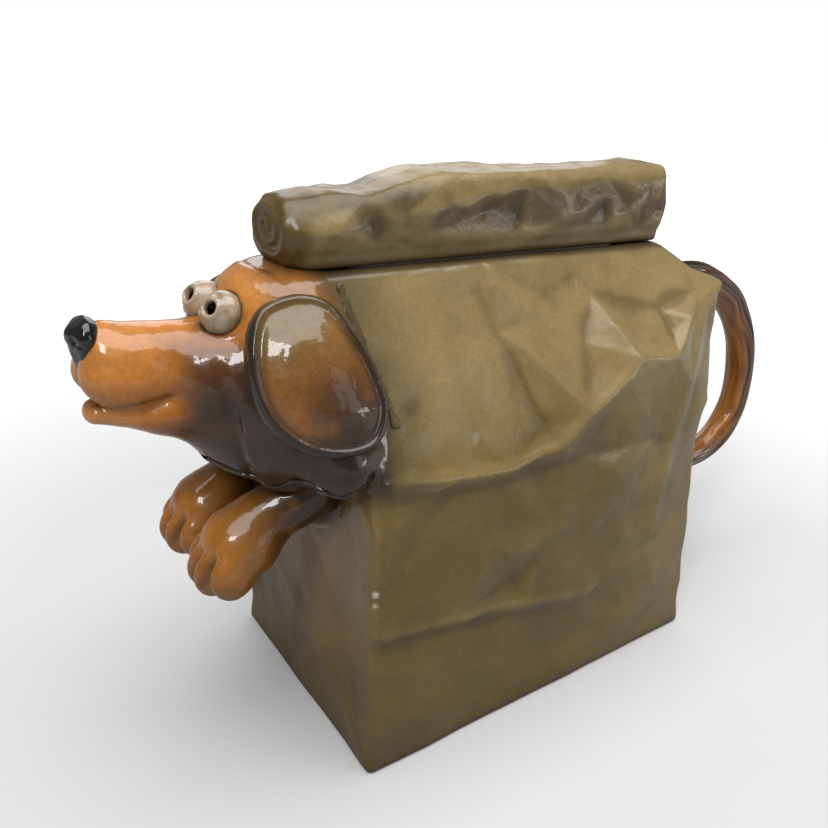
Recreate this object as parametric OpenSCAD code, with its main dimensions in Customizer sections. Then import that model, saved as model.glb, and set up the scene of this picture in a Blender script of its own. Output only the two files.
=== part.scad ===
// Novelty ceramic teapot: a paper carrier bag with a long-nosed dog looking out of one end.
// The bag is the pot, the head is the spout, the tail is the handle, the rolled bag top is the lid.
// Row frame: origin at the centre of the flat base, +X from head to tail, +Z up. Millimetres.

/* [Bag] */
// Length of the base along X
base_l = 145; // [130:1:160]
// Width of the base along Y
base_w = 89; // [80:1:98]
// Height of the horizontal crease where the sides start to lean in
crease_z = 97; // [90:1:102]
// Height of the pinched-out gusset corners
gusset_z = 130; // [126:1:133]
// Length across the gusset corners
gusset_l = 166; // [160:1:170]
// Width across the gusset corners
gusset_w = 50; // [46:1:56]
// Height of the narrow land that the lid rests on
land_z = 144; // [142:1:146]
// Wall thickness of the casting
wall = 4.5; // [4:0.5:5]

/* [Lid] */
// Length of the rolled bag top
roll_l = 144.5; // [138:1:146]
// Width of the rolled bag top
roll_w = 28; // [27:0.5:30]
// Height of the roll at its tail end
roll_h = 26; // [24:0.5:28]
// Length of the oval mouth in the bag under the lid
mouth_l = 112; // [100:1:116]
// Width of the oval mouth
mouth_w = 20; // [18:0.5:21]
// Play between the locating collar and the mouth, each side
collar_play = 1.5; // [1:0.25:2]
// Depth of the locating collar below the lid
collar_depth = 11; // [8:1:14]

/* [Dog] */
// Radius of one eye
eye_r = 5.8; // [5:0.1:6]
// Distance from the mid plane to each eye centre
eye_y = 6; // [5.9:0.1:6.5]
// Radius of the pierced pupil
pupil_r = 1.3; // [1:0.1:1.6]
// Distance from the mid plane to each foreleg
leg_y = 12; // [11:0.5:13]

/* [Tail] */
// Radius of the tail's cross-section
tail_r = 6.3; // [5.5:0.1:7]
// Radius of the long upper curve of the tail
tail_bend = 56; // [54:1:58]
// Radius of the tight lower curve of the tail
tail_hook = 25.5; // [24:0.5:28]

/* [Spout] */
// Radius of one strainer hole
strainer_r = 2.5; // [2:0.25:3]
// Radius of the pouring channel at the lips
lip_r = 3.6; // [3:0.1:4]
// Radius of the pouring channel at the strainer
throat_r = 12.5; // [11:0.5:13]

/* [Hidden] */
base_lift = 1.2;
corner_r = 6;
level_t = 0.2;
floor_t = 5;
crease_l = base_l - 2;
crease_w = base_w - 6;
land_l = 142;
land_w = 29;
mouth_x = -9;
roll_mid_x = -11.25;
roll_tip_h = 18.5;
roll_wall = 4;
collar_wall = 3.2;
nose_x = -128.4;
nose_z = 130.5;
eye_x = -95.8;
eye_z = 134.4;
lip_x = -130;
lip_z = 115;
throat_x = -72;
throat_z = 117;
tail_x = 84;
tail_y = -6;
tail_z = 72.5;
tail_root_x = 68;

// ---------- shared shapes ----------

// A thin rounded rectangle, centred at (x, 0), used as one level of the bag
module level(x, z, l, w, r) {
    for (sx = [-1, 1], sy = [-1, 1])
        translate([x + sx * (l / 2 - r), sy * (w / 2 - r), z])
            cylinder(r = r, h = level_t);
}

// A flat stadium with its long axis along X
module stadium(l, w, h) {
    translate([-(l - w) / 2, -w / 2, 0])
        cube([l - w, w, h]);
    for (s = [-1, 1])
        translate([s * (l - w) / 2, 0, 0])
            cylinder(d = w, h = h, $fn = 48);
}

module blob(p, r) {
    translate(p)
        scale(r)
            sphere(r = 1, $fn = 24);
}

// Outside of the bag: straight gusseted sides, then a shoulder leaning in to the lid's land
module bag_outside() {
    hull() {
        level(0, 0, base_l - 2 * base_lift, base_w - 2 * base_lift, corner_r);
        level(0, base_lift, base_l, base_w, corner_r);
        level(0, crease_z - level_t, crease_l, crease_w, corner_r);
    }
    hull() {
        level(0, crease_z - level_t, crease_l, crease_w, corner_r);
        level(0, gusset_z, gusset_l, gusset_w, corner_r);
        level(mouth_x, land_z - level_t, land_l, land_w, corner_r);
    }
}

module bag_inside() {
    t = 2 * wall;
    hull() {
        level(0, floor_t, base_l - t, base_w - t, corner_r);
        level(0, crease_z - level_t, crease_l - t, crease_w - t, corner_r);
    }
    hull() {
        level(0, crease_z - level_t, crease_l - t, crease_w - t, corner_r);
        level(0, gusset_z - 2, gusset_l - t, gusset_w - t, corner_r);
        level(mouth_x, land_z - wall, land_l - 2 * t, land_w - wall, corner_r);
    }
}

// Seven strainer holes pierced through the wall behind the spout
module strainer_holes() {
    translate([throat_x + 6, 0, throat_z])
        rotate([0, -90, 0]) {
            cylinder(r = strainer_r, h = 20, $fn = 24);
            for (a = [0 : 60 : 300])
                rotate(a)
                    translate([8.2, 0, 0])
                        cylinder(r = strainer_r, h = 20, $fn = 24);
        }
}

// The pouring channel: a cone that narrows from the strainer to the lips
module channel() {
    run = throat_x - lip_x;
    rise = throat_z - lip_z;
    translate([throat_x, 0, throat_z])
        rotate([0, -90 - atan2(rise, run), 0])
            cylinder(r1 = throat_r, r2 = lip_r, h = norm([run, rise]) + 4, $fn = 48);
}

// Neck bulging out of the torn paper, with the narrower chest recessed below it
module neck_outside() {
    hull() {
        blob([-80, 0, 124], [15, 32, 22.5]);
        blob([-92, 0, 121], [9, 21, 15]);
        blob([-76, 0, 107], [19, 38, 12]);
    }
    hull() {
        blob([-74, 0, 84], [12, 21, 17]);
        blob([-74, 0, 100], [14, 24, 10]);
    }
}

module head_outside() {
    hull() {
        blob([-97, 0, 121.5], [12, 18, 13]);
        blob([-120, 0, 124.2], [9, 10.5, 9.8]);
    }
}

module jaw_outside() {
    hull() {
        blob([-127.2, 0, 113], [3.6, 6.5, 3.6]);
        blob([-116, 0, 112], [5, 9, 6]);
        blob([-100, 0, 112], [8, 15, 9]);
    }
}

// ---------- nodes ----------

module bag_body() {
    color([0.47, 0.40, 0.28])
        difference() {
            bag_outside();
            bag_inside();
            translate([mouth_x, 0, land_z - 12])
                stadium(mouth_l, mouth_w, 14);
            strainer_holes();
        }
}

module lid_roll() {
    left = roll_mid_x - roll_l / 2;
    right = roll_mid_x + roll_l / 2;
    color([0.44, 0.39, 0.28])
        difference() {
            hull() {
                roll_level(left, 1, roll_w - 12, 3, roll_tip_h - 3);
                roll_level(left + 7, 1, roll_w, 0, roll_tip_h);
                roll_level(left + 65, 1, roll_w, 0, roll_h - 2);
                roll_level(right - 1, 1, roll_w - 2, 0, roll_h);
            }
            translate([0, 0, -1])
                hull() {
                    roll_level(left + 17, 1, mouth_w - 9, -1, roll_tip_h - roll_wall);
                    roll_level(left + 65, 1, mouth_w - 9, -1, roll_h - 2 - roll_wall);
                    roll_level(right - 20, 1, mouth_w - 9, -1, roll_h - roll_wall);
                }
        }
}

// One upright slice of the roll, from height lo to height hi above the land
module roll_level(x, t, w, lo, hi) {
    r = 3.5;
    for (s = [-1, 1], z = [lo + r, hi - r])
        translate([x, s * (w / 2 - r), land_z + z])
            rotate([0, 90, 0])
                cylinder(r = r, h = t);
}

module lid_collar() {
    l = mouth_l - 2 * collar_play;
    w = mouth_w - 2 * collar_play;
    color([0.62, 0.55, 0.42])
        translate([mouth_x, 0, land_z - collar_depth])
            difference() {
                stadium(l, w, collar_depth);
                translate([0, 0, -1])
                    stadium(l - 2 * collar_wall, w - 2 * collar_wall, collar_depth + 2);
            }
}

module neck_chest() {
    color([0.40, 0.27, 0.16])
        difference() {
            neck_outside();
            bag_outside();
            channel();
            lid_clearance();
            eye_pair_space();
        }
}

// Room for the lid to lift past the crown of the head
module lid_clearance() {
    translate([roll_mid_x - roll_l / 2 - 1.5, -20, land_z - 0.3])
        cube([roll_l + 3, 40, 20]);
}

module head_spout() {
    color([0.78, 0.50, 0.22])
        difference() {
            head_outside();
            neck_outside();
            channel();
            eye_pair_space();
        }
}

module eye_pair_space() {
    for (s = [-1, 1])
        translate([eye_x, s * eye_y, eye_z])
            sphere(r = eye_r, $fn = 32);
}

module lower_jaw() {
    color([0.78, 0.52, 0.24])
        difference() {
            jaw_outside();
            head_outside();
            neck_outside();
            channel();
        }
}

module nose() {
    color([0.05, 0.05, 0.06])
        difference() {
            hull() {
                blob([nose_x, 0, nose_z + 1.5], [4.2, 6.2, 4.2]);
                blob([nose_x, 0, nose_z - 2.5], [3.4, 3.8, 3.4]);
            }
            head_outside();
        }
}

module eye(s) {
    color([0.72, 0.66, 0.58])
        difference() {
            translate([eye_x, s * eye_y, eye_z])
                sphere(r = eye_r, $fn = 32);
            translate([eye_x, s * eye_y, eye_z])
                rotate([0, -72, s * 38])
                    translate([0, 0, eye_r - 2.5])
                        cylinder(r = pupil_r, h = 4, $fn = 16);
        }
}

module eye_left() {
    eye(-1);
}

module eye_right() {
    eye(1);
}

module ear_outside(s) {
    hull() {
        blob([-85, s * 25, 138], [6, 4.5, 5]);
        blob([-94, s * 30, 127], [4, 4.5, 5]);
        blob([-90, s * 35, 114], [4, 4.5, 5]);
        blob([-79, s * 39.5, 108.5], [5, 4.5, 5]);
        blob([-70, s * 38.5, 114], [5, 4.5, 6]);
        blob([-73, s * 31, 131], [4, 4.5, 5]);
    }
}

// A hanging ear laid against the side of the head and the bag's shoulder
module ear(s) {
    color([0.45, 0.28, 0.12])
        difference() {
            ear_outside(s);
            bag_outside();
            neck_outside();
            head_outside();
        }
}

module ear_left() {
    ear(-1);
}

module ear_right() {
    ear(1);
}

module foreleg_outside(s) {
    hull() {
        blob([-76, s * (leg_y + 3), 86], [9, 9, 9]);
        blob([-92, s * leg_y, 77], [8, 8, 8]);
    }
    hull() {
        blob([-92, s * leg_y, 77], [8, 8, 8]);
        blob([-101, s * leg_y, 71], [8, 9.5, 8]);
    }
    for (k = [-1.5, -0.5, 0.5, 1.5])
        blob([-105.5 + abs(k), s * leg_y + k * 4.4, 66.5], [5, 3.2, 6]);
}

// Foreleg with a four-toed paw, coming out of the chest
module foreleg(s) {
    color([0.70, 0.42, 0.16])
        difference() {
            foreleg_outside(s);
            bag_outside();
            neck_outside();
        }
}

module foreleg_left() {
    foreleg(-1);
}

module foreleg_right() {
    foreleg(1);
}

// Tail curved into a handle, with both ends running into the bag
module tail_handle() {
    color([0.55, 0.33, 0.13])
        difference() {
            union() {
                tail_curve(tail_x, tail_bend, 0);
                tail_curve(tail_x + tail_bend - tail_hook, tail_hook, -90);
                tail_root(tail_x, tail_z + tail_bend);
                tail_root(tail_x + tail_bend - tail_hook, tail_z - tail_hook);
            }
            bag_outside();
            bag_inside();
            lid_clearance();
        }
}

// A quarter turn of the tail in the XZ plane, starting at the given angle
module tail_curve(x, bend, from) {
    translate([x, tail_y, tail_z])
        rotate([90, 0, 0])
            rotate([0, 0, from])
                rotate_extrude(angle = 90, $fn = 72)
                    translate([bend, 0])
                        circle(r = tail_r, $fn = 24);
}

// A straight run from the curve's end at x back into the bag
module tail_root(x, z) {
    translate([tail_root_x, tail_y, z])
        rotate([0, 90, 0])
            cylinder(r = tail_r, h = x - tail_root_x, $fn = 24);
}

// Torn paper standing up in a ragged line behind each ear
module torn_edge(s) {
    color([0.42, 0.37, 0.29])
        difference() {
            union() {
                hull() {
                    blob([-72, s * 20, 141], [2, 2, 2]);
                    blob([-66, s * 30, 131], [1.8, 2, 2]);
                }
                hull() {
                    blob([-66, s * 30, 131], [1.8, 2, 2]);
                    blob([-62, s * 36, 120], [1.8, 2, 2]);
                }
            }
            bag_outside();
            neck_outside();
            ear_outside(s);
        }
}

module torn_edge_left() {
    torn_edge(-1);
}

module torn_edge_right() {
    torn_edge(1);
}

// Lip of torn paper that runs under the throat from corner to corner
module torn_edge_throat() {
    color([0.36, 0.31, 0.25])
        difference() {
            union() {
                for (s = [-1, 1]) {
                    hull() {
                        blob([-95, 0, 96], [4, 3, 2.5]);
                        blob([-88, s * 24, 96], [3, 3, 2.5]);
                    }
                    hull() {
                        blob([-88, s * 24, 96], [3, 3, 2.5]);
                        blob([-73, s * 40, 95], [2.5, 2.5, 2.5]);
                    }
                }
            }
            bag_outside();
            neck_outside();
            for (s = [-1, 1]) {
                ear_outside(s);
                foreleg_outside(s);
            }
        }
}

bag_body();
lid_roll();
lid_collar();
neck_chest();
head_spout();
lower_jaw();
nose();
eye_left();
eye_right();
ear_left();
ear_right();
foreleg_left();
foreleg_right();
tail_handle();
torn_edge_left();
torn_edge_right();
torn_edge_throat();
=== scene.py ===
"""Glazed ceramic teapot: a crumpled paper bag with a long-nosed dog looking out of one end.

Shapes are sculpted as distance fields in millimetres, in the CAD's own frame, and meshed on a grid.
"""
import math

import bpy
import numpy as np
from mathutils import Matrix, Vector
from mathutils.geometry import delaunay_2d_cdt


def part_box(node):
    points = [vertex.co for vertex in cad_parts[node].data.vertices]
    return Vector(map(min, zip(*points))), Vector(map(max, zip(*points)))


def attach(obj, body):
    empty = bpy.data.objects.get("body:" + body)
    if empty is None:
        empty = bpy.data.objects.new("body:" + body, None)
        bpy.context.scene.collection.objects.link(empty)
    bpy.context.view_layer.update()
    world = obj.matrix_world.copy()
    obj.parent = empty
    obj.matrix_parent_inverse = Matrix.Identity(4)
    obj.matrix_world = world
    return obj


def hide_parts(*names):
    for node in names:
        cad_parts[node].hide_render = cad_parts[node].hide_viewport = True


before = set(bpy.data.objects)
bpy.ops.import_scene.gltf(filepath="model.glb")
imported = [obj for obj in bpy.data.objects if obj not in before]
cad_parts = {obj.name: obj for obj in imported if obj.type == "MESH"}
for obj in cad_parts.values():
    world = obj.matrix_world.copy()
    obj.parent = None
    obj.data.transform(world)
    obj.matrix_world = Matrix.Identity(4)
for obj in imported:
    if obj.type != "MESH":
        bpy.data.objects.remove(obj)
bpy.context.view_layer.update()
MM = 0.001

# ---------------------------------------------------------------- places taken from the CAD


def cad_box_mm(node):
    """Lowest and highest corner of a CAD node in millimetres."""
    low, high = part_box(node)
    return np.array(low) / MM, np.array(high) / MM


BAG_HIGH = cad_box_mm("bag_body")[1]
EYE_LOW, EYE_HIGH = cad_box_mm("eye_left")
NOSE_LOW, NOSE_HIGH = cad_box_mm("nose")
TAIL_LOW, TAIL_HIGH = cad_box_mm("tail_handle")

LAND_Z = BAG_HIGH[2]  # flat top of the bag, under the lid
WALL = 4.5
MOUTH_X = -9.0  # middle of the mouth
MOUTH_HALF = 56.0  # half its length
MOUTH_R = 10.0  # half its width
EYE_R = (EYE_HIGH[2] - EYE_LOW[2]) / 2
EYE_AT = (EYE_LOW + EYE_HIGH) / 2
NOSE_AT = (NOSE_LOW + NOSE_HIGH) / 2
FOLD_Z = 95.0  # height of the torn edge under the throat
CHEST_AT, CHEST_R = (-73.5, 0, 84), (12.5, 21, 17)

# ---------------------------------------------------------------- distance-field tools


def smooth01(v, lo, hi):
    t = np.clip((v - lo) / (hi - lo), 0.0, 1.0)
    return t * t * (3.0 - 2.0 * t)


def ellipsoid(q, c, r):
    a = [(q[i] - c[i]) / r[i] for i in range(3)]
    k0 = np.sqrt(a[0] ** 2 + a[1] ** 2 + a[2] ** 2)
    k1 = np.sqrt((a[0] / r[0]) ** 2 + (a[1] / r[1]) ** 2 + (a[2] / r[2]) ** 2) + 1e-6
    return k0 * (k0 - 1.0) / k1


def limb(q, a, b, ra, rb, squeeze=(1.0, 1.0, 1.0)):
    """Capsule from a to b whose radius runs from ra to rb; squeeze stretches it along each axis."""
    s = [1.0 / k for k in squeeze]
    d = [(b[i] - a[i]) * s[i] for i in range(3)]
    p = [(q[i] - a[i]) * s[i] for i in range(3)]
    t = (p[0] * d[0] + p[1] * d[1] + p[2] * d[2]) / (d[0] ** 2 + d[1] ** 2 + d[2] ** 2)
    t = np.clip(t, 0.0, 1.0)
    e = [p[i] - t * d[i] for i in range(3)]
    gap = np.sqrt(e[0] ** 2 + e[1] ** 2 + e[2] ** 2) - (ra + t * (rb - ra))
    return gap * min(squeeze)


def join(a, b, k):
    """Smooth union with a fillet of about k."""
    h = np.clip(0.5 + 0.5 * (b - a) / k, 0.0, 1.0)
    return b * (1 - h) + a * h - k * h * (1 - h)


def cut(a, b, k):
    """a with b taken away, with a soft edge of about k."""
    return -join(-a, b, k)


def round_and(a, b, r):
    """Intersection with an edge rounded to radius r."""
    u = np.maximum(a + r, 0.0)
    v = np.maximum(b + r, 0.0)
    return np.minimum(np.maximum(a, b), -r) + np.sqrt(u * u + v * v)


_LATTICE = 31


def noise(q, size, seed):
    """Smooth value noise from -1 to 1, repeating only far outside the object."""
    table = np.random.default_rng(seed).uniform(-1, 1, (_LATTICE,) * 3).astype(np.float32)
    base, frac = [], []
    for i in range(3):
        u = q[i] / size + 500.0
        f = np.floor(u)
        t = (u - f).astype(np.float32)
        base.append(f.astype(np.int32))
        frac.append(t * t * (3 - 2 * t))
    out = 0.0
    for i in (0, 1):
        for j in (0, 1):
            for k in (0, 1):
                w = (frac[0] if i else 1 - frac[0]) * (frac[1] if j else 1 - frac[1])
                w = w * (frac[2] if k else 1 - frac[2])
                index = [(base[n] + (i, j, k)[n]) % _LATTICE for n in range(3)]
                out = out + w * table[index[0], index[1], index[2]]
    return out


def blur(grid, cells):
    """Gaussian blur of a 2D grid."""
    n = max(1, int(math.ceil(cells * 3)))
    k = np.exp(-0.5 * (np.arange(-n, n + 1) / cells) ** 2)
    k /= k.sum()
    padded = np.pad(grid, n, mode="edge")
    rows = np.apply_along_axis(lambda r: np.convolve(r, k, mode="valid"), 1, padded)
    return np.apply_along_axis(lambda c: np.convolve(c, k, mode="valid"), 0, rows)


class Panel:
    """One side of a paper bag as a height over a flat plane: flat facets between creases.

    folds and loose are the creases' points, crumple is (spacing, height) of random facets, and depth
    exaggerates all of them, less so near the foot: (share left, start, end).
    """

    CELL = 0.5

    def __init__(self, low, high, folds, loose=(), crumple=(), soften=1.0, seed=1, depth=1.0,
                 foot=(0.3, 4, 18)):
        self.low, self.high = np.array(low, float), np.array(high, float)
        self.shape = tuple(int((self.high[i] - self.low[i]) / self.CELL) + 1 for i in (0, 1))
        height = self.sheet(folds, loose)
        for n, (pitch, rise) in enumerate(crumple):
            height = height + self.sheet([], self.scatter(pitch, rise, seed + n))
        self.plain = blur(self.sheet(folds, loose), 5.0 / self.CELL)
        height = blur(height, soften / self.CELL)
        up = self.low[1] + np.arange(self.shape[1]) * self.CELL
        calm = foot[0] + (1 - foot[0]) * smooth01(up, self.low[1] + foot[1], self.low[1] + foot[2])
        self.height = self.plain + depth * calm[None, :] * (height - self.plain)
        self.relief = blur(self.height, 0.4 / self.CELL) - blur(self.height, 3.5 / self.CELL)
        da, db = np.gradient(self.height, self.CELL)
        self.lean = blur(1.0 / np.sqrt(1.0 + da * da + db * db), 4.0 / self.CELL)

    def scatter(self, pitch, rise, seed):
        rng = np.random.default_rng(seed)
        points = []
        for a in np.arange(self.low[0] - pitch, self.high[0] + pitch * 2, pitch):
            for b in np.arange(self.low[1] - pitch, self.high[1] + pitch * 2, pitch):
                shift = rng.uniform(-0.42, 0.42, 2) * pitch
                points.append((a + shift[0], b + shift[1], rng.uniform(-rise, rise)))
        return points

    def sheet(self, folds, loose):
        points, edges = [], []
        for fold in folds:
            start = len(points)
            points += fold
            edges += [(start + i, start + i + 1) for i in range(len(fold) - 1)]
        points += list(loose)
        flat = [Vector(p[:2]) for p in points]
        verts, _, faces, origin, _, _ = delaunay_2d_cdt(flat, edges, [], 0, 1e-4)
        known = np.array(points)
        level = []
        for i, v in enumerate(verts):
            if origin[i]:
                level.append(points[origin[i][0]][2])
            else:
                away = np.hypot(known[:, 0] - v[0], known[:, 1] - v[1]) + 1e-3
                w = away ** -3.0
                level.append(float((known[:, 2] * w).sum() / w.sum()))
        a = self.low[0] + np.arange(self.shape[0]) * self.CELL
        b = self.low[1] + np.arange(self.shape[1]) * self.CELL
        out = np.zeros(self.shape)
        for face in faces:
            p = [np.array((verts[i][0], verts[i][1], level[i])) for i in face]
            ia = [int(np.clip((f(t[0] for t in p) - self.low[0]) / self.CELL + s, 0, self.shape[0]))
                  for f, s in ((min, 0), (max, 2))]
            ib = [int(np.clip((f(t[1] for t in p) - self.low[1]) / self.CELL + s, 0, self.shape[1]))
                  for f, s in ((min, 0), (max, 2))]
            if ia[0] >= ia[1] or ib[0] >= ib[1]:
                continue
            ga, gb = np.meshgrid(a[ia[0]:ia[1]], b[ib[0]:ib[1]], indexing="ij")
            area = (p[1][0] - p[0][0]) * (p[2][1] - p[0][1]) - (p[2][0] - p[0][0]) * (p[1][1] - p[0][1])
            if abs(area) < 1e-9:
                continue
            w1 = ((ga - p[0][0]) * (p[2][1] - p[0][1]) - (p[2][0] - p[0][0]) * (gb - p[0][1])) / area
            w2 = ((p[1][0] - p[0][0]) * (gb - p[0][1]) - (ga - p[0][0]) * (p[1][1] - p[0][1])) / area
            hit = (w1 >= -1e-6) & (w2 >= -1e-6) & (w1 + w2 <= 1 + 1e-6)
            level_here = p[0][2] + w1 * (p[1][2] - p[0][2]) + w2 * (p[2][2] - p[0][2])
            window = out[ia[0]:ia[1], ib[0]:ib[1]]
            window[hit] = level_here[hit]
        return out

    def look(self, grid, a, b):
        u = np.clip((a - self.low[0]) / self.CELL, 0, self.shape[0] - 1.001)
        v = np.clip((b - self.low[1]) / self.CELL, 0, self.shape[1] - 1.001)
        i, j = u.astype(np.int32), v.astype(np.int32)
        s, t = (u - i).astype(np.float32), (v - j).astype(np.float32)
        g = grid.astype(np.float32)
        return ((g[i, j] * (1 - s) + g[i + 1, j] * s) * (1 - t)
                + (g[i, j + 1] * (1 - s) + g[i + 1, j + 1] * s) * t)

    def beyond(self, a, b, out, plain=False):
        """Signed distance of a point at height out over (a, b): positive outside the paper."""
        level = self.look(self.plain if plain else self.height, a, b)
        return (out - level) * self.look(self.lean, a, b)


# ---------------------------------------------------------------- meshing


def surface_net(field, low, high, step):
    """Quads on the zero surface of a field sampled on a grid."""
    low, high = np.array(low, float), np.array(high, float)
    count = [int(math.ceil((high[i] - low[i]) / step)) + 1 for i in range(3)]
    axes = [(low[i] + np.arange(count[i]) * step).astype(np.float32) for i in range(3)]
    v = np.empty(count, np.float32)
    slab = max(1, int(1_500_000 / (count[1] * count[2])))
    for i in range(0, count[0], slab):
        q = np.meshgrid(axes[0][i:i + slab], axes[1], axes[2], indexing="ij")
        v[i:i + slab] = field([c.ravel() for c in q]).reshape(q[0].shape)
    inside = v < 0
    total = np.zeros([c - 1 for c in count], np.int8)
    corners = [(i, j, k) for i in (0, 1) for j in (0, 1) for k in (0, 1)]
    for i, j, k in corners:
        total += inside[i:count[0] - 1 + i, j:count[1] - 1 + j, k:count[2] - 1 + k]
    active = (total > 0) & (total < 8)
    cells = np.argwhere(active)
    index = np.full(active.shape, -1, np.int64)
    index[active] = np.arange(len(cells))
    where = np.zeros((len(cells), 3))
    hits = np.zeros(len(cells))
    for a in corners:
        for axis in range(3):
            if a[axis]:
                continue
            b = tuple(a[n] + (n == axis) for n in range(3))
            va = v[cells[:, 0] + a[0], cells[:, 1] + a[1], cells[:, 2] + a[2]]
            vb = v[cells[:, 0] + b[0], cells[:, 1] + b[1], cells[:, 2] + b[2]]
            m = (va < 0) != (vb < 0)
            t = (va[m] / (va[m] - vb[m]))[:, None]
            where[m] += np.array(a) + (np.array(b) - np.array(a)) * t
            hits[m] += 1
    points = low + (cells + where / hits[:, None]) * step
    quads = []
    for axis in range(3):
        n1, n2 = (axis + 1) % 3, (axis + 2) % 3
        a = [slice(1, count[n] - 1) for n in range(3)]
        b = list(a)
        a[axis], b[axis] = slice(0, count[axis] - 1), slice(1, count[axis])
        s0, s1 = inside[tuple(a)], inside[tuple(b)]
        for flip, m in ((False, s0 & ~s1), (True, ~s0 & s1)):
            p = np.argwhere(m)
            p[:, n1] += 1
            p[:, n2] += 1
            d1, d2 = np.eye(3, dtype=int)[n1], np.eye(3, dtype=int)[n2]
            ring = [p, p - d1, p - d1 - d2, p - d2]
            quad = np.stack([index[tuple(r.T)] for r in ring], axis=1)
            quads.append(quad[:, ::-1] if flip else quad)
    return points, np.concatenate(quads)


def snap(points, field, rounds=2, reach=0.4):
    """Moves mesh points onto the field's zero surface."""
    e = 0.08
    for _ in range(rounds):
        q = [points[:, i].astype(np.float32) for i in range(3)]
        d = field(q)
        grad = []
        for i in range(3):
            more = list(q)
            more[i] = q[i] + e
            grad.append((field(more) - d) / e)
        g = np.stack(grad, axis=1)
        size = (g ** 2).sum(axis=1, keepdims=True) + 1e-4
        points = points + np.clip(-d[:, None] * g / size, -reach, reach)
    return points


def mesh_piece(name, points, faces, tint=None, body="pot", slot=None, replaces=()):
    """Makes a smooth-shaded mesh object from millimetre points and gives it its place in the frame."""
    mesh = bpy.data.meshes.new(name)
    mesh.from_pydata((points * MM).tolist(), [], faces.tolist() if hasattr(faces, "tolist") else faces)
    mesh.polygons.foreach_set("use_smooth", [True] * len(mesh.polygons))
    if tint is not None:
        layer = mesh.color_attributes.new("tint", "FLOAT_COLOR", "POINT")
        rgba = np.ones((len(points), 4), np.float32)
        rgba[:, :3] = tint
        layer.data.foreach_set("color", rgba.ravel())
    mesh.validate()
    mesh.update()
    obj = bpy.data.objects.new(name, mesh)
    bpy.context.collection.objects.link(obj)
    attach(obj, body)
    if replaces:
        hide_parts(*replaces)
    return obj


def sculpt(name, field, low, high, step, colour, **place):
    """Meshes a field, snaps it to its surface and colours every point."""
    points, faces = surface_net(field, low, high, step)
    points = snap(points, field)
    q = [points[:, i].astype(np.float32) for i in range(3)]
    return mesh_piece(name, points, faces, colour(q), **place)

# ---------------------------------------------------------------- the paper bag's four sides

# Folds are (along X or Y, height Z, distance out from the middle), in millimetres.
FRONT = Panel((-92, -4), (92, 150), folds=[
    [(-92, -4, 44.5), (92, -4, 44.5)],
    [(-92, 0, 44.5), (0, 0, 44.5), (92, 0, 44.5)],
    [(-72, 49.5, 44.3), (-47, 46.5, 44.8), (-18, 41.5, 45.0), (12, 35.5, 44.8), (22, 37, 44.2),
     (42, 45.5, 43.4), (58, 49, 40.5), (76, 52, 37.5)],
    [(-72, 45.5, 43.2), (-46, 42.5, 43.4), (-17, 37, 43.6), (12, 30.5, 43.6)],
    [(-76, 89.5, 43.0), (-64, 90.5, 43.4), (-29, 87, 43.0), (2, 88, 42.6), (40, 86, 42.0),
     (62, 91.5, 40.0), (76, 95, 36.5)],
    [(-76, 96, 43.4), (-62, 95.7, 44.3), (-43, 92.5, 44.5), (-28, 91, 44.4), (-10, 94, 44.4),
     (3, 102.5, 44.0), (17, 110.4, 43.0), (23, 116, 41.4), (42, 114, 40.8), (54, 124, 34.8),
     (81, 131.5, 26.5), (92, 132, 25.0)],
    [(-25, 137, 18.0), (-22, 125.6, 24.6), (-19, 119, 28.2), (-13, 100, 39.6)],
    [(-18.5, 138, 18.9), (-7, 128.7, 25.0), (-13.5, 119.6, 30.2)],
    [(25, 141.5, 16.6), (45, 126, 29.2), (46, 119, 35.6)],
    [(30, 143, 15.6), (66, 129.5, 27.6), (57, 121.5, 34.6), (48, 117.5, 38.4)],
    [(33.5, 3, 44.4), (33.4, 22.5, 44.0), (41, 42, 43.9)],
    [(44, 48, 43.8), (44, 70, 43.8), (47.5, 84, 43.0), (51, 104, 41.6), (66, 122, 32.8)],
    [(50, 46, 42.0), (52, 70, 41.0), (55, 82, 40.8), (60, 104, 38.2), (73, 122, 30.2)],
    [(13, 18, 43.7), (-7, 19, 43.5), (-6.7, 5, 44.0)],
    [(-21, 50, 43.4), (-11, 58, 44.6), (7.5, 57, 43.6), (26, 66, 43.9)],
    [(-68, 143, 15.2), (-65, 126, 25.6), (-63, 116, 31.8), (-62, 106, 38.0)],
], loose=[
    (-92, 150, 9), (92, 150, 9), (-80, 144, 14.5), (-20, 144, 14.5), (62, 144, 14.5), (92, 144, 14.5),
    (-92, 96, 43), (-92, 50, 43.6), (92, 50, 36), (92, 96, 35),
    (-36, 115, 31.2), (-38, 103, 38.9), (-56.5, 112, 33.4), (-52, 106, 37.6),
    (-45, 120, 28.6), (-48, 138, 18.4), (-60, 136, 19.4),
    (0, 134, 20.4), (8, 120, 32.0), (18, 132, 23.6),
    (-50, 70, 43.9), (-30, 66, 44.3), (0, 74, 43.6), (20, 78, 43.9), (28, 60, 43.6), (-60, 25, 44.3),
    (-30, 24, 44.0), (50, 24, 43.6), (64, 22, 42.4), (66, 70, 38.2),
], crumple=[(22, 0.65), (12, 0.34), (6.5, 0.1)], soften=0.5, depth=1.7, seed=11)

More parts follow.
